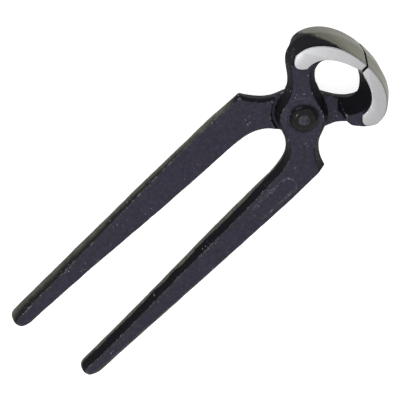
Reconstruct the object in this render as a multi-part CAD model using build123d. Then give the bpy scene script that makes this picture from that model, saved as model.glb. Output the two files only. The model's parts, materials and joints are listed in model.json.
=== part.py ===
from build123d import *
import math
import os

# Hoof nipper of the pincer kind: two forged levers crossed in a lap joint and held by
# one rivet between two domed washers. The levers are the same forging, and the lower
# one is the upper one turned half a turn about the long axis.
#
# Everything is first drawn about the pivot: x across, +y towards the jaws, and z = 0 on
# the lap plane between the two levers. The last step moves it so that the origin is the
# centre of the footprint and z = 0 is the surface that the tool lies on.

# ---- driving dimensions, millimetres and degrees --------------------------------------
LAP_GAP = 0.10             # space between the two lapped faces
JAW_GAP = 1.0              # space between the closed cutting edges
EDGE_SKEW = 0.15           # sideways lean of the cutting edges per unit of depth
FACE_Z = 9.0               # outer face of the boss above the lap plane
JAW_HALF_WIDTH = 11.0      # half the width of the jaw, without its ground pads
PAD_Z = 12.0               # ground pads, the widest faces of the tool
PAD_ROOT_Z = 9.6           # where the pads start, inside the jaw
SHOULDER_RADIUS = 17.0     # round wall where the handle crosses the lap plane
HEEL_RADIUS_AT_LAP = 18.3  # sloping wall where the jaw crosses the lap plane
HEEL_RADIUS_AT_SIDE = 22.2
STOP_ANGLE = 16.0          # top of the handle's shoulder, below the cross axis
ROOT_BACK_Z = -2.7         # back face of the handle's root
ROOT_END_Y = -40.0         # where the handle's root ends and its long taper starts
ROOT_FACE_Z = 6.7          # front face of the handle there
SLOPE_START_Y = -13.5      # where the face starts to fall from the boss to the handle
RISE_START_Y = 8.0         # where it starts to rise from the boss to the jaw
RISE_END_Y = 22.0
DRAFT_INSET = 3.68         # how far the sides lean in over the full height of the root
BACK_INSET = 1.0           # the same on the shallow back of the root
TIP_END_Y = -205.9         # end of the handles
TIP_LENGTH = 6.0           # rounded part at the end
TIP_ANGLES = (20, 40, 58, 72, 84)  # sections over the rounding, to a small flat end

BORE_RADIUS = 4.05         # running fit in the upper lever
SHANK_RADIUS = 4.0         # rivet, and its tight hole in the lower lever
NECK_RADIUS = 2.7          # reduced ends of the rivet, through the washers
BUTTON_RADIUS = 3.2        # peened end
BUTTON_TOP_RADIUS = 2.4
BUTTON_HEIGHT = 0.3
SPOT_FACE_RADIUS = 8.8
SPOT_FACE_Z = 8.5
WASHER_RADIUS = 7.75
WASHER_EDGE = 0.6
WASHER_HEIGHT = 2.5
WASHER_FLAT_RADIUS = 3.4
WASHER_DOME_POINT = (6.1, 1.8)  # radius and height half way over the dome
WASHER_GAP = 0.05          # running space under the upper washer
CLEAR = 2.0                # how far cutting shapes run past the steel

# ---- outlines of the upper lever, as smooth stretches between true corners -------------
INNER_X_AT_ROOT_END = 13.1
OUTER_X_AT_ROOT_END = 33.4
# Left side of neck and boss, then the crotch and the inner side of the handle's root.
LEFT_AT_LAP = [(-32.7, 24), (-28.7, 15.4), (-20.2, 8.5), (-15.9, 1.5), (-12.6, -8.4), (-3.6, -15),
               (4, -18), (10, -24.6), (12.4, -33), (INNER_X_AT_ROOT_END, ROOT_END_Y)]
LEFT_AT_FACE = [(-28.9, 24), (-25.4, 16.3), (-17, 9.4), (-12.6, 0.6), (-9.4, -7.6), (-1.6, -12.6),
                (6.1, -16.2), (12.6, -23), (15.9, -32.5),
                (INNER_X_AT_ROOT_END + DRAFT_INSET, ROOT_END_Y)]
# Right side, from the spur over the boss to the eye between the jaws.
SPUR_AT_LAP = (32.2, -15.5)
SPUR_AT_FACE = (28.8, -18.6)
RIGHT_AT_LAP = [SPUR_AT_LAP, (25.5, -12.6), (19.2, -6.8), (16, 0.2), (11.6, 7.6), (1.5, 13.8),
                (-8.4, 18.4), (-13.4, 24), (-14, 30)]
RIGHT_AT_FACE = [SPUR_AT_FACE, (21.8, -14.2), (15.6, -8.2), (12.2, -0.6), (8, 6.4), (-1, 11.2),
                 (-12.2, 16.8), (-17.6, 23.4), (-18.4, 30)]

# Jaw in plan: the outer sweep from the cutting edge round to the heel, and the inner
# sweep from the heel to the bevel under the cutting edge.
JAW_OUTER_AT_SIDE = [(-9.6, 44.7), (-18, 42.2), (-25.2, 37.3), (-29.7, 30.7), (-30.5, 24.8), (-26.6, 18.7),
                     (-20.8, 14.6)]
JAW_OUTER_AT_LAP = [(-9.8, 46), (-18.8, 43.4), (-26.6, 38.3), (-31.5, 31.1), (-32.5, 24.3), (-28.5, 17),
                    (-21.6, 12.6)]
JAW_INNER_AT_SIDE = [(-13.4, 16.6), (-17.6, 21), (-19.3, 27.4), (-15.6, 34.2), (-9.6, 38.1), (-5, 39.6)]
JAW_INNER_AT_LAP = [(-9, 18), (-12.3, 22.4), (-13, 27.6), (-10.4, 32.1), (-7.5, 34.9), (-4.2, 37)]
HEEL_AT_SIDE = (-16, 14.6)
HEEL_AT_LAP = (-14, 13)
CREST_AT_SIDE = 45.5
CREST_AT_LAP = 46.8
BEVEL_TOP_Y = 42.3         # the cutting edges meet above this
# Ground crescent pad on each side of the jaw.
PAD_OUTER = [(-10, 44.3), (-20.2, 40.5), (-28.1, 32.6), (-30, 24.5)]
PAD_INNER = [(-20.4, 23.2), (-18.9, 31), (-13, 36.4), (-5, 39.7)]
PAD_CREST_Y = 45.2
PAD_END_LOW = (-25.2, 19.8)

# Handle sections: y, inner and outer ridge, then height and both edges of each face.
HANDLE_SECTIONS = [
    # y, inner, outer, front z, front in, front out, back z, back in, back out
    (-70, 14.3, 33.8, 6.2, 17.8, 31.0, -4.5, 15.6, 32.7),
    (-100, 15.7, 33.7, 5.8, 19.1, 30.5, -5.5, 17.4, 32.0),
    (-150, 17.8, 33.1, 5.7, 21.6, 29.4, -5.8, 20.2, 30.2),
    (TIP_END_Y + TIP_LENGTH, 19.2, 32.4, 5.5, 23.5, 28.2, -6.0, 22.6, 27.9),
]


def stretch(points, z):
    """One smooth side of an outline at height z, or a straight one between two points."""
    places = [(x, y, z) for x, y in points]
    if len(places) == 2:
        return Edge.make_line(*places)
    return Edge.make_spline([Vector(place) for place in places])


def outline(stretches, z):
    """Closed wire at height z from stretches that follow each other end to end."""
    return Wire([stretch(points, z) for points in stretches])


def drafted(levels):
    """Straight-sided solid through outlines given as (stretches, z), lowest first."""
    return Solid.make_loft([outline(stretches, z) for stretches, z in levels], ruled=True)


def root_stretches(left, right, outer_x):
    """Outline of boss, neck and handle root, closed inside the jaw."""
    inner_end = left[-1]
    outer_end = (outer_x, ROOT_END_Y)
    return [left, [inner_end, outer_end], [outer_end, right[0]], right, [right[-1], left[0]]]


def make_plate():
    """Front half of boss, neck and handle root, with drafted sides."""
    at_lap = root_stretches(LEFT_AT_LAP, RIGHT_AT_LAP, OUTER_X_AT_ROOT_END)
    at_face = root_stretches(LEFT_AT_FACE, RIGHT_AT_FACE, OUTER_X_AT_ROOT_END - DRAFT_INSET)
    return drafted([(at_lap, LAP_GAP / 2), (at_face, JAW_HALF_WIDTH)])


def above_face():
    """Space over the front face, which is lowest on the handle and highest on the jaw."""
    clear = JAW_HALF_WIDTH + CLEAR
    profile = Polyline(
        (0, ROOT_END_Y, ROOT_FACE_Z),
        (0, SLOPE_START_Y, FACE_Z),
        (0, RISE_START_Y, FACE_Z),
        (0, RISE_END_Y, JAW_HALF_WIDTH),
        (0, RISE_END_Y, clear),
        (0, ROOT_END_Y, clear),
        close=True,
    )
    half_reach = 2 * OUTER_X_AT_ROOT_END
    return extrude(make_face(profile), half_reach, dir=(1, 0, 0), both=True)


def partway(start, end, share):
    """Points part of the way from one row of points to another."""
    return [(x0 + (x1 - x0) * share, y0 + (y1 - y0) * share) for (x0, y0), (x1, y1) in zip(start, end)]


def make_root_back():
    """Part of the handle root behind the lap plane, outside its round shoulder."""
    share = BACK_INSET / DRAFT_INSET
    at_lap = root_stretches(LEFT_AT_LAP, RIGHT_AT_LAP, OUTER_X_AT_ROOT_END)
    at_back = root_stretches(
        partway(LEFT_AT_LAP, LEFT_AT_FACE, share),
        partway(RIGHT_AT_LAP, RIGHT_AT_FACE, share),
        OUTER_X_AT_ROOT_END - BACK_INSET,
    )
    root = drafted([(at_back, ROOT_BACK_Z), (at_lap, LAP_GAP / 2)])
    depth = abs(ROOT_BACK_Z) + CLEAR
    boss_space = Pos(0, 0, LAP_GAP / 2 - depth) * Cylinder(
        SHOULDER_RADIUS, depth, align=(Align.CENTER, Align.CENTER, Align.MIN)
    )
    reach = 3 * OUTER_X_AT_ROOT_END
    above_stop = Rot(0, 0, -STOP_ANGLE) * Pos(0, 0, LAP_GAP / 2 - depth) * Box(
        reach, reach, depth, align=(Align.CENTER, Align.MIN, Align.MIN)
    )
    other_side = Pos(0, 0, LAP_GAP / 2 - depth) * Box(
        reach, reach, depth, align=(Align.MAX, Align.CENTER, Align.MIN)
    )
    return root - boss_space - above_stop - other_side


def edge_x(z):
    """Where the cutting edge's flat end is at height z."""
    return -JAW_GAP / 2 + EDGE_SKEW * z


def jaw_stretches(outer, inner, heel, crest_y, z):
    """Outline of the jaw from the crest round the outside, the heel and the inside."""
    crest = (edge_x(z), crest_y)
    bevel_top = (edge_x(z), BEVEL_TOP_Y)
    return [[crest] + outer, [outer[-1], heel], [heel, inner[0]], inner, [inner[-1], bevel_top],
            [bevel_top, crest]]


def make_jaw():
    """Full-width jaw with a crowned outer wall and a double-drafted inner wall."""
    levels = []
    for z in (-JAW_HALF_WIDTH, JAW_HALF_WIDTH):
        side = jaw_stretches(JAW_OUTER_AT_SIDE, JAW_INNER_AT_SIDE, HEEL_AT_SIDE, CREST_AT_SIDE, z)
        levels.append((side, z))
    middle = jaw_stretches(JAW_OUTER_AT_LAP, JAW_INNER_AT_LAP, HEEL_AT_LAP, CREST_AT_LAP, 0)
    levels.insert(1, (middle, 0))
    jaw = drafted(levels)
    depth = JAW_HALF_WIDTH
    growth = (HEEL_RADIUS_AT_SIDE - HEEL_RADIUS_AT_LAP) / depth
    boss_space = Pos(0, 0, LAP_GAP / 2 - depth - CLEAR) * Cone(
        HEEL_RADIUS_AT_SIDE + growth * CLEAR, HEEL_RADIUS_AT_LAP, depth + CLEAR,
        align=(Align.CENTER, Align.CENTER, Align.MIN)
    )
    return jaw - boss_space


def make_pad(side):
    """Ground crescent on the front side of the jaw, or on the back for side -1."""
    end_x = edge_x(side * PAD_Z)
    crest = (end_x, PAD_CREST_Y)
    bevel_top = (end_x, BEVEL_TOP_Y)
    outer = [crest] + PAD_OUTER
    around = [outer, [outer[-1], PAD_END_LOW, PAD_INNER[0]], PAD_INNER, [PAD_INNER[-1], bevel_top],
              [bevel_top, crest]]
    pad = extrude(make_face(outline(around, PAD_ROOT_Z)), PAD_Z - PAD_ROOT_Z)
    return pad if side > 0 else mirror(pad, Plane.XY)


def handle_section(y, inner, outer, front_z, front_in, front_out, back_z, back_in, back_out):
    """Six-sided section of the handle at y."""
    corners = [(inner, y, 0), (front_in, y, front_z), (front_out, y, front_z), (outer, y, 0),
               (back_out, y, back_z), (back_in, y, back_z)]
    return Wire.make_polygon([Vector(corner) for corner in corners], close=True)


def shrunk(section, y, scale):
    """The same section, moved to y and made smaller about its own middle."""
    middle_x = (section[1] + section[2]) / 2
    widths = [middle_x + (value - middle_x) * scale for value in section[1:3]]
    front = [section[3] * scale] + [middle_x + (value - middle_x) * scale for value in section[4:6]]
    back = [section[6] * scale] + [middle_x + (value - middle_x) * scale for value in section[7:9]]
    return (y, *widths, *front, *back)


def make_handle():
    """Long tapering handle with a rounded end."""
    share = (ROOT_FACE_Z - LAP_GAP / 2) / (JAW_HALF_WIDTH - LAP_GAP / 2)
    inset = DRAFT_INSET * share
    inner = LEFT_AT_LAP[-1][0]
    first = (ROOT_END_Y, inner, OUTER_X_AT_ROOT_END, ROOT_FACE_Z, inner + inset,
             OUTER_X_AT_ROOT_END - inset, ROOT_BACK_Z, inner + BACK_INSET,
             OUTER_X_AT_ROOT_END - BACK_INSET)
    stations = [first] + HANDLE_SECTIONS
    shaft = Solid.make_loft([handle_section(*station) for station in stations])
    last = HANDLE_SECTIONS[-1]
    steps = [last]
    reach = TIP_LENGTH / math.sin(math.radians(TIP_ANGLES[-1]))
    for angle in TIP_ANGLES:
        y = last[0] - reach * math.sin(math.radians(angle))
        steps.append(shrunk(last, y, math.cos(math.radians(angle))))
    tip = Solid.make_loft([handle_section(*step) for step in steps], ruled=True)
    return shaft + tip


def make_lever(bore_radius):
    """One whole forging in the place of the upper lever."""
    head = make_plate() + make_root_back() + make_jaw() - above_face()
    lever = head + make_pad(1) + make_pad(-1) + make_handle()
    spot_depth = JAW_HALF_WIDTH - SPOT_FACE_Z
    spot_face = Pos(0, 0, SPOT_FACE_Z) * Cylinder(
        SPOT_FACE_RADIUS, spot_depth, align=(Align.CENTER, Align.CENTER, Align.MIN)
    )
    bore = Cylinder(bore_radius, 2 * PAD_Z)
    return lever - spot_face - bore


def make_rivet():
    """Shouldered rivet, peened at both ends over the washers."""
    top = SPOT_FACE_Z + WASHER_GAP
    bottom = -SPOT_FACE_Z
    profile = Polyline(
        (0, bottom - WASHER_HEIGHT - BUTTON_HEIGHT),
        (BUTTON_TOP_RADIUS, bottom - WASHER_HEIGHT - BUTTON_HEIGHT),
        (BUTTON_RADIUS, bottom - WASHER_HEIGHT),
        (NECK_RADIUS, bottom - WASHER_HEIGHT),
        (NECK_RADIUS, bottom),
        (SHANK_RADIUS, bottom),
        (SHANK_RADIUS, top),
        (NECK_RADIUS, top),
        (NECK_RADIUS, top + WASHER_HEIGHT),
        (BUTTON_RADIUS, top + WASHER_HEIGHT),
        (BUTTON_TOP_RADIUS, top + WASHER_HEIGHT + BUTTON_HEIGHT),
        (0, top + WASHER_HEIGHT + BUTTON_HEIGHT),
        close=True,
    )
    return revolve(Plane.XZ * make_face(profile), Axis.Z)


def make_washer():
    """Domed washer standing on z = 0 about the pivot."""
    flat_line = Polyline(
        (WASHER_FLAT_RADIUS, WASHER_HEIGHT), (NECK_RADIUS, WASHER_HEIGHT), (NECK_RADIUS, 0),
        (WASHER_RADIUS, 0), (WASHER_RADIUS, WASHER_EDGE)
    )
    dome = ThreePointArc(
        (WASHER_RADIUS, WASHER_EDGE), WASHER_DOME_POINT, (WASHER_FLAT_RADIUS, WASHER_HEIGHT)
    )
    return revolve(Plane.XZ * make_face(flat_line + dome), Axis.Z)


def make_nodes():
    """Every piece about the pivot, by node name."""
    half_turn = Rot(0, 180, 0)
    return {
        "upper_lever": make_lever(BORE_RADIUS),
        "lower_lever": half_turn * make_lever(SHANK_RADIUS),
        "pivot_rivet": make_rivet(),
        "upper_rivet_washer": Pos(0, 0, SPOT_FACE_Z + WASHER_GAP) * make_washer(),
        "lower_rivet_washer": half_turn * Pos(0, 0, SPOT_FACE_Z) * make_washer(),
    }


middle_y = (CREST_AT_LAP + TIP_END_Y) / 2
to_footprint = Pos(0, -middle_y, PAD_Z)
print("pivot in the part's frame:", (0, -middle_y, PAD_Z))

os.makedirs("parts", exist_ok=True)
for name, piece in make_nodes().items():
    placed = to_footprint * piece
    export_step(placed, f"parts/{name}.step")
    box = placed.bounding_box()
    print(name, len(placed.solids()), "solid", placed.is_valid, round(placed.volume), "mm3", box.min, box.max)
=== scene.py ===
import json
import math

import bmesh
import bpy
import numpy as np
from mathutils import Matrix, Vector, noise
from mathutils.bvhtree import BVHTree


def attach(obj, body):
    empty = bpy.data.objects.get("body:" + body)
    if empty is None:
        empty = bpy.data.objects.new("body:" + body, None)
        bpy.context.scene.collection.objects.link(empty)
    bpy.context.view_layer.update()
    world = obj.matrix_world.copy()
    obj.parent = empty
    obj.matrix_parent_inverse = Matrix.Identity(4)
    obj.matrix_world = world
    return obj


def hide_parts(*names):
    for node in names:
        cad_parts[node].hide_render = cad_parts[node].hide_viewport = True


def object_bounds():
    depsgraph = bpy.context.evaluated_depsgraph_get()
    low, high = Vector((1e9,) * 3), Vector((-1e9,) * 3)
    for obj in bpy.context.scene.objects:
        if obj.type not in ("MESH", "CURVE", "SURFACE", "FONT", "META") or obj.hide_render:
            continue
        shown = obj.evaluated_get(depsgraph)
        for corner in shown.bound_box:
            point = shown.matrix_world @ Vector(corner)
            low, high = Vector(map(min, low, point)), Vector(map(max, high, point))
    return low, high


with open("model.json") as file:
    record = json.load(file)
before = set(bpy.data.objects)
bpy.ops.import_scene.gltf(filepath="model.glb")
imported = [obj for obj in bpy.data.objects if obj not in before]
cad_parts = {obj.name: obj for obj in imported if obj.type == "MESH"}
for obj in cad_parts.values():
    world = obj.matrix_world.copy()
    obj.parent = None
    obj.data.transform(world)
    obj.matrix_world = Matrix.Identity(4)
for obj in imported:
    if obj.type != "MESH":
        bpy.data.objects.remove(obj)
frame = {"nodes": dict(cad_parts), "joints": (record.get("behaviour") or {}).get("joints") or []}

cad_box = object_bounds()

# Hoof nipper: two forged, black-lacquered levers with ground jaws, on a peened rivet.
# Shapes are worked in the forging's own frame: millimetres from the pivot, x across,
# +y to the jaws, z out of the front face. The lower lever is the same forging after half
# a turn about y, so both go through the same steps.

MM = 0.001
PIVOT = Vector(frame["joints"][0]["pos_m"])
PAD_Z = (cad_box[1].z - PIVOT.z) / MM
VOXEL = 0.46                 # mesh size of a forging
EDGE_ROUNDING_PASSES = 7     # smoothing passes, about 1 mm of rounding
EDGE_ROUNDING_SHARE = 0.55   # how far each pass moves a point to its neighbours' middle
WELD_DISTANCE = 0.02         # points nearer than this become one
HEEL_RADIUS = 18.3           # round wall about the lap joint
SPOT_FACE = 8.5              # seats of the washers above the lap plane
SPOT_FACE_RADIUS = 8.8
JAW_GAP = 1.0
EDGE_SKEW = 0.15             # sideways lean of the gap per unit of depth
GAP_WEAR = 0.20              # steel worn off each cutting edge
GAP_STRETCH = 3.0            # passing overshoot of the gap face, cut off again
GAP_FACE_ABOVE_Y = 30        # the gap's flat face is higher than this
CUT_ABOVE_Y = 28.0           # lowest part of the jaw that the gap cut may touch
EYE_MIDDLE_Y = 27.0          # middle of the eye between the jaws
TURN_MIDDLE_Y = 20.0         # angles round the jaw are taken about here
GROUND_TURN_AT_PAD = 28.0    # degrees from the crest where the ground outside ends, by the pad
GROUND_TURN_GROWTH = 52.0    # how much further round it ends deep in the jaw
GROUND_DEPTH = 10.0
BEVEL_X = -4.6               # the ground bevel inside the jaw is right of this and above
BEVEL_Y = 34.0
NOT_GROUND = -4.0            # margin value well outside the ground zones
HANDLE_START_Y = -16         # the painted flank sheen and the seam specks start below this, fully below the next
HANDLE_FULL_Y = -30
PAD_DEPTH = 2.4
PAD_CHAMFER = 0.35
SKIN_UNDER_PAD = 0.4         # the forging stays this far under the pad's face
PANEL_Y = (-62.0, -31.0)     # blank oval panel on the handle
PANEL_MIDDLE_X = 23.6
PANEL_LEAN = 0.012           # it leans with the handle's axis
PANEL_HALF_WIDTH = 4.3
PANEL_RIM = 0.60
PANEL_HEIGHT = 0.45
WASHER_HEIGHT = 2.5
WASHER_RADIUS = 7.75
WASHER_FLAT_RADIUS = 3.5
WASHER_EDGE = 0.7            # height of the rim, below the dome
WASHER_EDGE_ROUND = 0.25
WASHER_GAP = 0.05            # running space under the upper washer
NECK_RADIUS = 2.7
SHANK_RADIUS = 4.0
BUTTON_RADIUS = 3.2          # peened end
BUTTON_HEIGHT = 0.55

# Camera, floor and light are in metres.
CAMERA_LENS = 180.0
CAMERA_DISTANCE = 1.0914
CAMERA_FORWARD = (0.37198, -0.36279, -0.85441)
CAMERA_RIGHT = (0.73292, 0.67962, 0.03051)
CAMERA_AIM = (-0.00289, 0.0023)
FLOOR_DROP = 0.0002          # keeps the floor clear of the faces that rest on it
FLOOR_HALF_SIZE = 4.0


# ---- camera ----------------------------------------------------------------------------
def make_camera():
    """Long lens from above the jaws' left side, rolled so that the handles run down left."""
    data = bpy.data.cameras.new("camera")
    data.sensor_width = 36.0
    data.lens = CAMERA_LENS
    camera = bpy.data.objects.new("camera", data)
    bpy.context.scene.collection.objects.link(camera)
    forward = Vector(CAMERA_FORWARD).normalized()
    right = Vector(CAMERA_RIGHT)
    right = (right - right.dot(forward) * forward).normalized()
    up = right.cross(forward)
    aim = Vector((*CAMERA_AIM, PIVOT.z))
    place = Matrix((right, up, -forward)).transposed().to_4x4()
    place.translation = aim - forward * CAMERA_DISTANCE
    camera.matrix_world = place
    data.clip_start = 0.05
    data.clip_end = 20.0
    bpy.context.scene.camera = camera


make_camera()


# ---- mesh helpers ----------------------------------------------------------------------
def to_forging(lower):
    """Matrix from the row frame in metres to the forging's frame in millimetres."""
    turn = Matrix.Rotation(math.pi, 4, "Y") if lower else Matrix.Identity(4)
    return turn @ Matrix.Scale(1 / MM, 4) @ Matrix.Translation(-PIVOT)


def object_from(mesh, name):
    """New object that shows mesh."""
    made = bpy.data.objects.new(name, mesh)
    bpy.context.scene.collection.objects.link(made)
    return made


def mesh_from(made, name):
    """New mesh from a bmesh, which is freed."""
    mesh = bpy.data.meshes.new(name)
    made.to_mesh(mesh)
    made.free()
    return mesh


def opened(mesh):
    """Bmesh copy of mesh."""
    made = bmesh.new()
    made.from_mesh(mesh)
    return made


def remove(*objects):
    """Deletes helper objects."""
    for item in objects:
        bpy.data.objects.remove(item)


def evaluated_copy(item):
    """Mesh of item with its modifiers applied."""
    depsgraph = bpy.context.evaluated_depsgraph_get()
    depsgraph.update()
    return bpy.data.meshes.new_from_object(item.evaluated_get(depsgraph))


def coordinates(mesh):
    """Vertex places as an n by 3 array."""
    flat = np.empty(len(mesh.vertices) * 3)
    mesh.vertices.foreach_get("co", flat)
    return flat.reshape(-1, 3)


def normals(mesh):
    """Vertex normals as an n by 3 array."""
    flat = np.empty(len(mesh.vertices) * 3)
    mesh.vertices.foreach_get("normal", flat)
    return flat.reshape(-1, 3)


def set_coordinates(mesh, points):
    """Moves the vertices to points."""
    mesh.vertices.foreach_set("co", points.reshape(-1))
    mesh.update()


def edge_ends(mesh):
    """Vertex numbers at both ends of every edge."""
    flat = np.empty(len(mesh.edges) * 2, dtype=np.int64)
    mesh.edges.foreach_get("vertices", flat)
    return flat.reshape(-1, 2)


def neighbour_mean(points, ends):
    """Mean place of each vertex's neighbours."""
    count = len(points)
    first, second = ends[:, 0], ends[:, 1]
    degree = np.bincount(first, minlength=count) + np.bincount(second, minlength=count)
    total = np.empty_like(points)
    for axis in range(points.shape[1]):
        total[:, axis] = np.bincount(first, points[second, axis], count)
        total[:, axis] += np.bincount(second, points[first, axis], count)
    return total / np.maximum(degree, 1)[:, None]


def ramp(values, low, high):
    """Smooth step from 0 at low to 1 at high; low may be the larger."""
    share = np.clip((values - low) / (high - low), 0.0, 1.0)
    return share * share * (3 - 2 * share)


def store(mesh, name, values):
    """Keeps one number per vertex for the materials."""
    layer = mesh.attributes.new(name, "FLOAT", "POINT")
    layer.data.foreach_set("value", np.asarray(values, dtype=np.float32))


# ---- the forgings ----------------------------------------------------------------------
def voxel_skin(mesh):
    """Even quad mesh over the solid, without its tessellation."""
    holder = object_from(mesh, "voxel_holder")
    remesh = holder.modifiers.new("even", "REMESH")
    remesh.mode = "VOXEL"
    remesh.voxel_size = VOXEL
    skin = evaluated_copy(holder)
    remove(holder)
    return skin


def gap_x(z):
    """Where the flat gap face of the jaw is at height z."""
    return EDGE_SKEW * z - JAW_GAP / 2


def on_gap_face(points, wear, tolerance):
    """True for points on the gap face with wear taken off it, in the jaw."""
    off_face = np.abs(points[:, 0] - gap_x(points[:, 2]) + wear)
    return (off_face < tolerance) & (points[:, 1] > GAP_FACE_ABOVE_Y)


def stretch_past_gap(mesh):
    """Carries the jaw's gap face too far, so that a later cut leaves it flat and crisp."""
    points = coordinates(mesh)
    points[on_gap_face(points, 0.0, 0.02), 0] += GAP_STRETCH
    set_coordinates(mesh, points)


def cut_gap(made, lowest_y):
    """Cuts the jaw of a bmesh, above lowest_y, off at the worn gap face and closes the cut."""
    jaw = [face for face in made.faces if all(vert.co.y > lowest_y for vert in face.verts)]
    edges = {edge for face in jaw for edge in face.edges}
    verts = {vert for face in jaw for vert in face.verts}
    bmesh.ops.bisect_plane(made, geom=jaw + list(edges) + list(verts), clear_outer=True,
                           plane_co=(gap_x(0) - GAP_WEAR, 0, 0), plane_no=(1, 0, -EDGE_SKEW))
    rim = [edge for edge in made.edges if edge.is_boundary]
    closed = bmesh.ops.holes_fill(made, edges=rim, sides=0)
    return closed["faces"]


def crisp_share(points):
    """1 where the forging is machined to its exact surface, 0 where it is as forged."""
    x, y, z = points.T
    reach = np.hypot(x, y)
    lap = ramp(reach, HEEL_RADIUS + 1.0, HEEL_RADIUS - 1.0) * ramp(np.abs(z), 1.6, 0.6)
    boss = ramp(reach, SPOT_FACE_RADIUS + 0.2, SPOT_FACE_RADIUS - 0.8)
    return np.maximum(lap, boss)


def round_forged_edges(skin, tree):
    """Rounds the edges as forging leaves them and keeps machined faces true."""
    ends = edge_ends(skin)
    start = coordinates(skin)
    crisp = crisp_share(start)[:, None]
    points = start.copy()
    for _ in range(EDGE_ROUNDING_PASSES):
        points += EDGE_ROUNDING_SHARE * (neighbour_mean(points, ends) - points)
    nearest = np.array([tree.find_nearest(Vector(p))[0][:] for p in start])
    return points * (1 - crisp) + nearest * crisp


def panel_height(points, facing):
    """Raised oval rim of the blank panel on the front of the handle."""
    x, y, _ = points.T
    middle_y = sum(PANEL_Y) / 2
    half_length = (PANEL_Y[1] - PANEL_Y[0]) / 2 - PANEL_HALF_WIDTH
    middle_x = PANEL_MIDDLE_X + PANEL_LEAN * (middle_y - y)
    along = np.maximum(np.abs(y - middle_y) - half_length, 0)
    reach = np.hypot(along, x - middle_x)
    rim = np.exp(-((reach - PANEL_HALF_WIDTH) / PANEL_RIM) ** 2)
    return rim * PANEL_HEIGHT * facing


def hammer(points, facing_out, seed):
    """Low unevenness of a drop forging, in millimetres along the surface."""
    shift = Vector((seed * 37.0, 0, 0))
    wide = np.array([noise.noise(Vector(p) * 0.11 + shift) for p in points])
    small = np.array([noise.noise(Vector(p) * 0.55 + shift) for p in points])
    return (0.16 * wide + 0.05 * small) * facing_out


def outward(points):
    """Unit vector away from the middle of the jaw's eye, in plan."""
    away = points[:, :2] - np.array((0.0, EYE_MIDDLE_Y))
    return away / np.maximum(np.linalg.norm(away, axis=1), 1e-6)[:, None]


def ground_margin(points, facing):
    """How far inside the ground zones of the jaw a point is, in tens of degrees."""
    x, y, z = points.T
    out = (facing[:, :2] * outward(points)).sum(1)
    turn = np.degrees(np.arctan2(-x, y - TURN_MIDDLE_Y))
    limit = GROUND_TURN_AT_PAD + GROUND_TURN_GROWTH * (1 - np.exp((z - PAD_Z) / GROUND_DEPTH))
    sides = ramp(out, 0.25, 0.55) * ramp(y, 20, 24)
    outer = np.minimum((limit - turn) / 10, sides * 8 - 3.5)
    outer = np.where(sides > 0.02, outer, NOT_GROUND)
    bevel = np.minimum((x - BEVEL_X) * 1.5, y - BEVEL_Y) * ramp(out, 0.1, -0.3)
    inner = np.where(out < 0, bevel, NOT_GROUND)
    return np.maximum(outer, inner)


def pad_solid(cad_mesh, side, name):
    """Crisp ground crescent cut from the CAD solid's widest flat face on one side."""
    made = opened(cad_mesh)
    level = side * PAD_Z
    others = [f for f in made.faces if any(abs(v.co.z - level) > 0.01 for v in f.verts)]
    bmesh.ops.delete(made, geom=others, context="FACES")
    bmesh.ops.dissolve_limit(made, angle_limit=0.01, verts=made.verts, edges=made.edges)
    bmesh.ops.dissolve_faces(made, faces=made.faces)
    grown = bmesh.ops.extrude_face_region(made, geom=list(made.faces))
    moved = [g for g in grown["geom"] if isinstance(g, bmesh.types.BMVert)]
    drop = -side * PAD_DEPTH
    bmesh.ops.translate(made, verts=moved, vec=(EDGE_SKEW * drop, 0, drop))
    cut_gap(made, 0.0)
    top = [e for e in made.edges if all(abs(v.co.z - level) < 0.01 for v in e.verts)]
    bmesh.ops.bevel(made, geom=top, offset=PAD_CHAMFER, segments=2, profile=0.6, affect="EDGES")
    bmesh.ops.recalc_face_normals(made, faces=made.faces)
    return object_from(mesh_from(made, name), name)


def join_pads(skin, pads, materials):
    """One mesh of the forging and its ground pads, welded along the seams."""
    holder = object_from(skin, "forging_holder")
    for material in materials:
        holder.data.materials.append(material)
    for pad in pads:
        pad.data.materials.append(materials[1])
        union = holder.modifiers.new("pad", "BOOLEAN")
        union.operation = "UNION"
        union.solver = "MANIFOLD"
        union.object = pad
    whole = evaluated_copy(holder)
    remove(holder, *pads)
    made = opened(whole)
    bmesh.ops.remove_doubles(made, verts=made.verts, dist=WELD_DISTANCE)
    bmesh.ops.dissolve_degenerate(made, edges=made.edges, dist=WELD_DISTANCE)
    made.to_mesh(whole)
    made.free()
    return whole


def paint_zones(mesh):
    """Numbers per vertex that the lacquer uses: edges, faces, ground zone, flanks, seams."""
    points = coordinates(mesh)
    facing = normals(mesh)
    ends = edge_ends(mesh)
    soft = points.copy()
    for _ in range(8):
        soft = neighbour_mean(soft, ends) * 0.6 + soft * 0.4
    bulge = ((points - soft) * facing).sum(1)
    in_gap = on_gap_face(points, GAP_WEAR, 0.03)
    store(mesh, "ridge", np.where(in_gap, 0.0, ramp(bulge, 0.033, 0.17)))
    # Faces turned up or down; the lacquer paints them lighter than the flanks as a painted
    # reflection.
    store(mesh, "face", ramp(np.abs(facing[:, 2]), 0.80, 0.95))
    store(mesh, "ground", np.where(in_gap, NOT_GROUND, ground_margin(points, facing)))
    store(mesh, "reach", np.hypot(points[:, 0], points[:, 1]))
    on_handle = ramp(points[:, 1], HANDLE_START_Y, HANDLE_FULL_Y)
    # Masks of the handles' flanks that carry the painted sheen.
    store(mesh, "outer_side", ramp(facing[:, 0], 0.3, 0.6) * on_handle)
    store(mesh, "inner_side", ramp(-facing[:, 0], 0.3, 0.6) * on_handle)
    store(mesh, "height", np.abs(points[:, 2]))
    level = np.abs(facing[:, 2])
    store(mesh, "seam", ramp(level, 0.62, 0.74) * ramp(level, 0.97, 0.90) * on_handle)


def surface_tree(mesh):
    """Search tree over the faces of mesh."""
    made = opened(mesh)
    tree = BVHTree.FromBMesh(made)
    made.free()
    return tree


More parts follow.
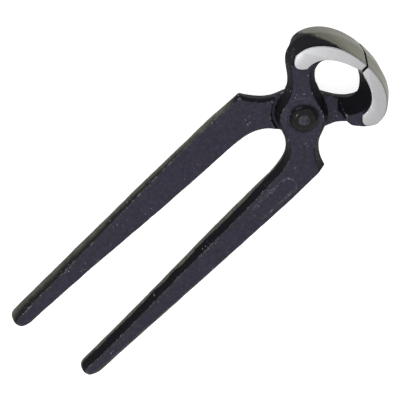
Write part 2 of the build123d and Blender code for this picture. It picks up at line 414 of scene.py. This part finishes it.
def forged_skin(cad_mesh, tree, seed):
    """Forging without its pads: rounded edges, hammer unevenness, panel and cut jaw."""
    skin = voxel_skin(cad_mesh)
    points = round_forged_edges(skin, tree)
    set_coordinates(skin, points)
    facing = normals(skin)
    as_forged = 1 - crisp_share(points)
    rise = panel_height(points, ramp(facing[:, 2], 0.80, 0.95))
    points = points + facing * (hammer(points, as_forged, seed) + rise)[:, None]
    points[:, 2] = np.clip(points[:, 2], SKIN_UNDER_PAD - PAD_Z, PAD_Z - SKIN_UNDER_PAD)
    set_coordinates(skin, points)
    work = opened(skin)
    bmesh.ops.triangulate(work, faces=cut_gap(work, CUT_ABOVE_Y))
    work.to_mesh(skin)
    work.free()
    return skin


def make_forging(node, body, lower, materials):
    """Lever with forged edges, true machined faces, ground pads and material zones."""
    inward = to_forging(lower)
    cad_mesh = frame["nodes"][node].data.copy()
    cad_mesh.materials.clear()
    cad_mesh.transform(inward)
    tree = surface_tree(cad_mesh)
    stretch_past_gap(cad_mesh)
    pads = [pad_solid(cad_mesh, side, f"{node}_pad_{side}") for side in (1, -1)]
    skin = forged_skin(cad_mesh, tree, seed=2 if lower else 1)
    mesh = join_pads(skin, pads, materials)
    paint_zones(mesh)
    mesh.transform(inward.inverted())
    mesh.shade_smooth()
    mesh.set_sharp_from_angle(angle=math.radians(40))
    lever = object_from(mesh, f"{node}_forging")
    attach(lever, body)
    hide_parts(node)
    return lever


# ---- rivet and washers -----------------------------------------------------------------
def lathe(name, profile, turns=96):
    """Closed solid turned about the pivot axis from (radius, height) points in millimetres."""
    made = bmesh.new()
    rings = []
    for radius, height in profile:
        if radius < 1e-6:
            rings.append([made.verts.new((0, 0, height))])
            continue
        angles = [2 * math.pi * step / turns for step in range(turns)]
        rings.append([made.verts.new((radius * math.cos(a), radius * math.sin(a), height))
                      for a in angles])
    pairs = list(zip(rings, rings[1:]))
    if len(rings[0]) > 1:
        pairs.append((rings[-1], rings[0]))
    for low, high in pairs:
        for step in range(turns):
            following = (step + 1) % turns
            corners = [low[step % len(low)]]
            if len(low) > 1:
                corners.append(low[following])
            if len(high) > 1:
                corners.append(high[following])
            corners.append(high[step % len(high)])
            if len(corners) > 2:
                made.faces.new(corners)
    bmesh.ops.recalc_face_normals(made, faces=made.faces)
    return mesh_from(made, name)


def arc(centre, radius, start, end, steps):
    """Points on an arc in the profile plane, angles in degrees."""
    angles = [math.radians(start + (end - start) * step / steps) for step in range(steps + 1)]
    return [(centre[0] + radius * math.cos(a), centre[1] + radius * math.sin(a)) for a in angles]


def place_turned(mesh, name, lower, material, body, slot, *nodes):
    """Puts a turned mesh on the pivot and ties it to its body."""
    mesh.materials.append(material)
    mesh.transform(to_forging(lower).inverted())
    mesh.shade_smooth()
    mesh.set_sharp_from_angle(angle=math.radians(35))
    piece = object_from(mesh, name)
    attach(piece, body)
    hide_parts(*nodes)
    return piece


def washer_profile(base):
    """Domed washer on height base: crowned from a rounded rim to a small flat."""
    top = base + WASHER_HEIGHT
    span = WASHER_RADIUS - WASHER_FLAT_RADIUS
    rise = WASHER_HEIGHT - WASHER_EDGE
    dome_radius = (span * span + rise * rise) / (2 * rise)
    sweep = math.degrees(math.asin(span / dome_radius))
    dome = arc((WASHER_FLAT_RADIUS, top - dome_radius), dome_radius, 90 - sweep, 90, 14)
    rim = [(WASHER_RADIUS - WASHER_EDGE_ROUND, base), (WASHER_RADIUS, base + WASHER_EDGE_ROUND)]
    return [(NECK_RADIUS, base)] + rim + dome + [(NECK_RADIUS, top)]


def rivet_profile(bottom, top):
    """Rivet with shoulders at heights bottom and top, and low domed peened ends."""
    start = bottom - WASHER_HEIGHT
    end = top + WASHER_HEIGHT
    angles = [math.radians(a) for a in range(0, 90, 10)]
    cap = [(BUTTON_RADIUS * math.cos(a), BUTTON_HEIGHT * math.sin(a)) for a in angles]
    upper = [(radius, end + rise) for radius, rise in cap]
    lower = [(radius, start - rise) for radius, rise in reversed(cap)]
    body = [(NECK_RADIUS, start), (NECK_RADIUS, bottom), (SHANK_RADIUS, bottom),
            (SHANK_RADIUS, top), (NECK_RADIUS, top), (NECK_RADIUS, end)]
    return [(0, start - BUTTON_HEIGHT)] + lower + body + upper + [(0, end + BUTTON_HEIGHT)]


def make_washer(side, material):
    """Washer of one side, upper or lower; both ride with the lower half."""
    lower = side == "lower"
    node = f"{side}_rivet_washer"
    base = SPOT_FACE if lower else SPOT_FACE + WASHER_GAP
    mesh = lathe(f"{node}_dome", washer_profile(base))
    place_turned(mesh, f"{node}_dome", lower, material, "lower_half", "washer_black", node)


def make_rivet(material):
    """Rivet through both levers."""
    mesh = lathe("pivot_rivet_peened", rivet_profile(-SPOT_FACE, SPOT_FACE + WASHER_GAP))
    place_turned(mesh, "pivot_rivet_peened", False, material, "lower_half", "rivet_steel",
                 "pivot_rivet")


# ---- materials -------------------------------------------------------------------------
class Nodes:
    """Short ways to add and link shader nodes of one material."""

    def __init__(self, name):
        self.material = bpy.data.materials.new(name)
        self.material.use_nodes = True
        self.tree = self.material.node_tree
        self.shader = next(n for n in self.tree.nodes if n.type == "BSDF_PRINCIPLED")
        self.place = self.add("ShaderNodeTexCoord").outputs["Object"]

    def add(self, kind, inputs=None, **settings):
        """New node with its settings and inputs, each a value or a socket."""
        made = self.tree.nodes.new(kind)
        for key, value in settings.items():
            setattr(made, key, value)
        for key, value in (inputs or {}).items():
            self.put(made.inputs[key], value)
        return made

    def put(self, socket, value):
        """Links a socket to another, or sets its value."""
        if isinstance(value, bpy.types.NodeSocket):
            self.tree.links.new(value, socket)
        else:
            socket.default_value = value

    def noise(self, scale, detail=3.0, roughness=0.55, stretch=None):
        """Noise value over the piece; scale is features per metre."""
        place = self.place
        if stretch:
            mapped = self.add("ShaderNodeMapping", {"Vector": place, "Scale": stretch})
            place = mapped.outputs["Vector"]
        made = self.add("ShaderNodeTexNoise",
                        {"Vector": place, "Scale": scale, "Detail": detail, "Roughness": roughness})
        return made.outputs["Fac"]

    def specks(self, scale, size):
        """1 in small scattered specks, 0 elsewhere."""
        made = self.add("ShaderNodeTexVoronoi", {"Vector": self.place, "Scale": scale})
        return self.ramp(made.outputs["Distance"], size, size * 0.5)

    def attribute(self, name):
        """Number stored on the mesh."""
        return self.add("ShaderNodeAttribute", attribute_name=name).outputs["Fac"]

    def math(self, operation, first, second=0.0):
        """Result of one math node."""
        return self.add("ShaderNodeMath", {0: first, 1: second}, operation=operation).outputs[0]

    def ramp(self, value, low, high, out_low=0.0, out_high=1.0):
        """Smooth change from out_low at low to out_high at high."""
        made = self.add("ShaderNodeMapRange",
                        {"Value": value, "From Min": low, "From Max": high,
                         "To Min": out_low, "To Max": out_high},
                        interpolation_type="SMOOTHSTEP")
        return made.outputs["Result"]

    def mix(self, share, first, second):
        """Colour between two."""
        made = self.add("ShaderNodeMix", {"Factor": share}, data_type="RGBA")
        self.put(made.inputs[6], first)
        self.put(made.inputs[7], second)
        return made.outputs[2]

    def bump(self, height, distance, strength=1.0, below=None):
        """Normal with height laid over it; distance in metres."""
        inputs = {"Height": height, "Distance": distance, "Strength": strength}
        if below is not None:
            inputs["Normal"] = below
        return self.add("ShaderNodeBump", inputs).outputs["Normal"]


def rgb(red, green, blue):
    """Colour with full alpha."""
    return (red, green, blue, 1.0)


def forged_lacquer():
    """Black lacquer over forging scale, bare steel where the jaw is ground."""
    n = Nodes("forged_black_lacquer")
    mottle = n.noise(420, 4.0)
    fine = n.noise(1900, 3.0, 0.65)
    patch = n.noise(95, 3.0)
    face = n.attribute("face")
    ridge = n.attribute("ridge")
    reach = n.attribute("reach")

    # Near-black flanks and lighter grey-blue faces: painted shade on the flanks and a painted
    # reflection on the faces, set by which way the surface faces. The handles' flanks also get a
    # painted greenish sheen, strongest near the lap.
    flank = n.mix(mottle, rgb(0.0015, 0.0015, 0.0025), rgb(0.005, 0.0045, 0.008))
    flat = n.mix(mottle, rgb(0.010, 0.009, 0.017), rgb(0.030, 0.026, 0.043))
    height = n.math("ADD", n.attribute("height"), n.ramp(patch, 0.3, 0.7, -0.45, 0.45))
    # Painted sheen: the handles' outer and inner flanks are lightened to greenish grey, more towards
    # the lap.
    outer_painted_sheen = n.math("MULTIPLY", n.attribute("outer_side"), n.ramp(height, 4.4, 0.2, 0.05, 1.0))
    inner_painted_sheen = n.math("MULTIPLY", n.attribute("inner_side"), n.ramp(height, 1.45, 1.1))
    flank_painted_sheen = n.math("MAXIMUM", outer_painted_sheen, inner_painted_sheen)
    flank_painted_sheen = n.math("MULTIPLY", flank_painted_sheen, n.ramp(mottle, 0.3, 0.7, 0.6, 1.0))
    flank = n.mix(flank_painted_sheen, flank, rgb(0.088, 0.088, 0.070))
    lacquer = n.mix(face, flank, flat)

    # Pale scale grains and faint turning rings round the boss.
    grains = n.math("MULTIPLY", n.ramp(fine, 0.48, 0.70), n.ramp(mottle, 0.35, 0.65, 0.25, 1.0))
    boss = n.ramp(reach, 19, 12, 0.5, 1.0)
    grains = n.math("MULTIPLY", n.math("MULTIPLY", grains, boss), n.math("MULTIPLY", face, 0.6))
    lacquer = n.mix(grains, lacquer, rgb(0.095, 0.088, 0.125))
    ring = n.math("ABSOLUTE", n.math("SUBTRACT", n.math("PINGPONG", reach, 1.1), 0.75))
    ring = n.math("MULTIPLY", n.ramp(ring, 0.22, 0.04), n.ramp(reach, 13.6, 12.4))
    ring = n.math("MULTIPLY", ring, n.math("MULTIPLY", n.ramp(patch, 0.50, 0.62), face))
    lacquer = n.mix(n.math("MULTIPLY", ring, 0.4), lacquer, rgb(0.14, 0.13, 0.17))

    # Steel showing in specks along the seams and in scattered chips. Convex edges are lightened,
    # partly as worn steel and partly as a painted highlight.
    seam = n.math("MULTIPLY", n.attribute("seam"), n.ramp(fine, 0.50, 0.64))
    seam = n.math("MULTIPLY", seam, n.ramp(patch, 0.35, 0.6, 0.25, 0.8))
    lacquer = n.mix(seam, lacquer, rgb(0.24, 0.235, 0.23))

    # Lighter convex edges: partly wear, partly a painted highlight.
    edge_wear_and_highlight = n.math("ADD", ridge, n.ramp(mottle, 0.35, 0.75, -0.75, 0.15))
    edge_wear_and_highlight = n.math("MULTIPLY", n.ramp(edge_wear_and_highlight, 0.30, 0.80), n.ramp(fine, 0.38, 0.60))
    lacquer = n.mix(n.math("MULTIPLY", edge_wear_and_highlight, 0.6), lacquer, rgb(0.25, 0.245, 0.25))
    chips = n.math("MULTIPLY", n.specks(520, 0.22), n.ramp(patch, 0.52, 0.66))
    chips = n.math("MULTIPLY", chips, n.ramp(fine, 0.40, 0.62))
    lacquer = n.mix(n.math("MULTIPLY", chips, 0.9), lacquer, rgb(0.42, 0.41, 0.45))

    # Bare ground steel, with an uneven edge and a darker margin.
    edge_noise = n.ramp(patch, 0.2, 0.8, -0.28, 0.28)
    fray = n.ramp(mottle, 0.2, 0.8, -0.14, 0.14)
    margin = n.math("ADD", n.math("ADD", n.attribute("ground"), edge_noise), fray)
    ground = n.ramp(margin, -0.25, 0.45)
    brushed = n.noise(260, 4.0, 0.6, stretch=(1.0, 1.0, 9.0))
    steel = n.mix(brushed, rgb(0.050, 0.050, 0.038), rgb(0.20, 0.196, 0.152))
    steel = n.mix(n.ramp(fine, 0.35, 0.75, 0.0, 0.35), steel, rgb(0.21, 0.205, 0.17))
    steel = n.mix(n.ramp(n.attribute("ground"), 3.2, 0.6, 0.0, 0.5), steel, rgb(0.045, 0.045, 0.036))

    n.put(n.shader.inputs["Base Color"], n.mix(ground, lacquer, steel))
    n.put(n.shader.inputs["Metallic"], ground)
    gloss = n.math("ADD", n.ramp(fine, 0.25, 0.75, 0.36, 0.60), n.ramp(face, 0.0, 1.0, 0.24, 0.0))
    rough = n.add("ShaderNodeMix", {"Factor": ground}, data_type="FLOAT")
    n.put(rough.inputs[2], gloss)
    n.put(rough.inputs[3], n.ramp(brushed, 0.3, 0.7, 0.36, 0.52))
    n.put(n.shader.inputs["Roughness"], rough.outputs[0])
    n.shader.inputs["Specular IOR Level"].default_value = 0.09
    low = n.bump(mottle, 0.00022, 0.6)
    scale = n.bump(fine, 0.00010, 0.5, low)
    n.put(n.shader.inputs["Normal"], scale)
    return n.material


def ground_steel():
    """Bright ground crescents: fine straight grinding lines, small pits and dull spots."""
    n = Nodes("ground_jaw_steel")
    lines = n.noise(700, 3.0, 0.6, stretch=(0.35, 3.2, 1.0))
    cloud = n.noise(160, 3.0)
    grit = n.noise(1500, 3.0, 0.6)
    tone = n.mix(lines, rgb(0.22, 0.22, 0.23), rgb(0.32, 0.32, 0.33))
    tone = n.mix(n.ramp(grit, 0.35, 0.70, 0.0, 0.35), tone, rgb(0.43, 0.43, 0.44))
    # Painted reflection: the crescent steel lightens a little from x = +12 mm to x = -12 mm, so the
    # left crescent is brighter.
    across = n.add("ShaderNodeSeparateXYZ", {"Vector": n.place}).outputs["X"]
    tone = n.mix(n.ramp(across, 0.012, -0.012, 0.0, 0.10), tone, rgb(0.78, 0.79, 0.76))
    pits = n.math("MULTIPLY", n.specks(420, 0.20), n.ramp(cloud, 0.56, 0.64))
    tone = n.mix(n.math("MULTIPLY", pits, 0.75), tone, rgb(0.10, 0.08, 0.08))
    n.put(n.shader.inputs["Base Color"], tone)
    n.shader.inputs["Metallic"].default_value = 1.0
    n.put(n.shader.inputs["Roughness"], n.ramp(lines, 0.3, 0.7, 0.32, 0.48))
    n.put(n.shader.inputs["Normal"], n.bump(lines, 0.00005, 0.5))
    return n.material


def washer_black():
    """Glossy black washers with a few rubbed spots."""
    n = Nodes("washer_gloss_black")
    cloud = n.noise(480, 3.0)
    fine = n.noise(1700, 3.0, 0.6)
    tone = n.mix(cloud, rgb(0.002, 0.002, 0.002), rgb(0.006, 0.0055, 0.006))
    spots = n.math("MULTIPLY", n.specks(620, 0.22), n.ramp(cloud, 0.5, 0.62))
    tone = n.mix(n.math("MULTIPLY", spots, 0.5), tone, rgb(0.15, 0.15, 0.16))
    tone = n.mix(n.ramp(fine, 0.60, 0.72, 0.0, 0.3), tone, rgb(0.06, 0.055, 0.07))
    n.put(n.shader.inputs["Base Color"], tone)
    n.put(n.shader.inputs["Roughness"], n.ramp(cloud, 0.3, 0.7, 0.10, 0.18))
    n.shader.inputs["Specular IOR Level"].default_value = 0.12
    n.put(n.shader.inputs["Normal"], n.bump(cloud, 0.00008, 0.35))
    return n.material


def rivet_steel():
    """Peened rivet end: dark, dimpled steel."""
    n = Nodes("rivet_dark_steel")
    dents = n.noise(650, 2.0)
    tone = n.mix(n.ramp(dents, 0.3, 0.7), rgb(0.004, 0.004, 0.006), rgb(0.036, 0.031, 0.043))
    n.put(n.shader.inputs["Base Color"], tone)
    n.shader.inputs["Metallic"].default_value = 0.4
    n.put(n.shader.inputs["Roughness"], n.ramp(dents, 0.3, 0.7, 0.30, 0.5))
    n.shader.inputs["Specular IOR Level"].default_value = 0.30
    n.put(n.shader.inputs["Normal"], n.bump(dents, 0.0005, 0.8))
    return n.material


# ---- the tool --------------------------------------------------------------------------
lacquer = forged_lacquer()
crescent = ground_steel()
make_forging("upper_lever", "upper_half", False, (lacquer, crescent))
make_forging("lower_lever", "lower_half", True, (lacquer, crescent))

black = washer_black()
for side in ("upper", "lower"):
    make_washer(side, black)
make_rivet(rivet_steel())


# ---- floor and light -------------------------------------------------------------------
def make_floor():
    """Wide plain pale floor under the tool."""
    made = bmesh.new()
    bmesh.ops.create_grid(made, x_segments=1, y_segments=1, size=FLOOR_HALF_SIZE)
    mesh = mesh_from(made, "floor")
    floor = object_from(mesh, "floor")
    floor.location.z = -FLOOR_DROP
    material = bpy.data.materials.new("floor_pale")
    material.use_nodes = True
    shader = next(n for n in material.node_tree.nodes if n.type == "BSDF_PRINCIPLED")
    shader.inputs["Base Color"].default_value = rgb(0.45, 0.45, 0.45)
    shader.inputs["Roughness"].default_value = 0.9
    shader.inputs["Emission Color"].default_value = rgb(1, 1, 1)
    shader.inputs["Emission Strength"].default_value = 0.85
    mesh.materials.append(material)


def make_light(name, place, size, power, target):
    """Soft square light that faces target."""
    data = bpy.data.lights.new(name, "AREA")
    data.shape = "SQUARE"
    data.size = size
    data.energy = power
    light = bpy.data.objects.new(name, data)
    bpy.context.scene.collection.objects.link(light)
    place = Vector(place)
    light.location = place
    light.rotation_mode = "QUATERNION"
    light.rotation_quaternion = (Vector(target) - place).to_track_quat("-Z", "Y")
    return light


def make_world(strength):
    """Even white surroundings."""
    world = bpy.data.worlds.new("studio")
    world.use_nodes = True
    background = world.node_tree.nodes["Background"]
    background.inputs["Color"].default_value = rgb(1, 1, 1)
    background.inputs["Strength"].default_value = strength
    bpy.context.scene.world = world


make_floor()
make_world(0.55)
middle = (cad_box[0] + cad_box[1]) / 2
make_light("overhead", (0.45, -0.40, 1.5), 3.6, 42.0, middle)
make_light("left_fill", (-1.2, 0.4, 0.7), 0.9, 7.0, middle)
sparkle = make_light("sparkle", (-0.11, -0.28, 1.0), 0.06, 2.4, middle)
sparkle.visible_diffuse = False
bpy.context.scene.view_settings.view_transform = "Standard"
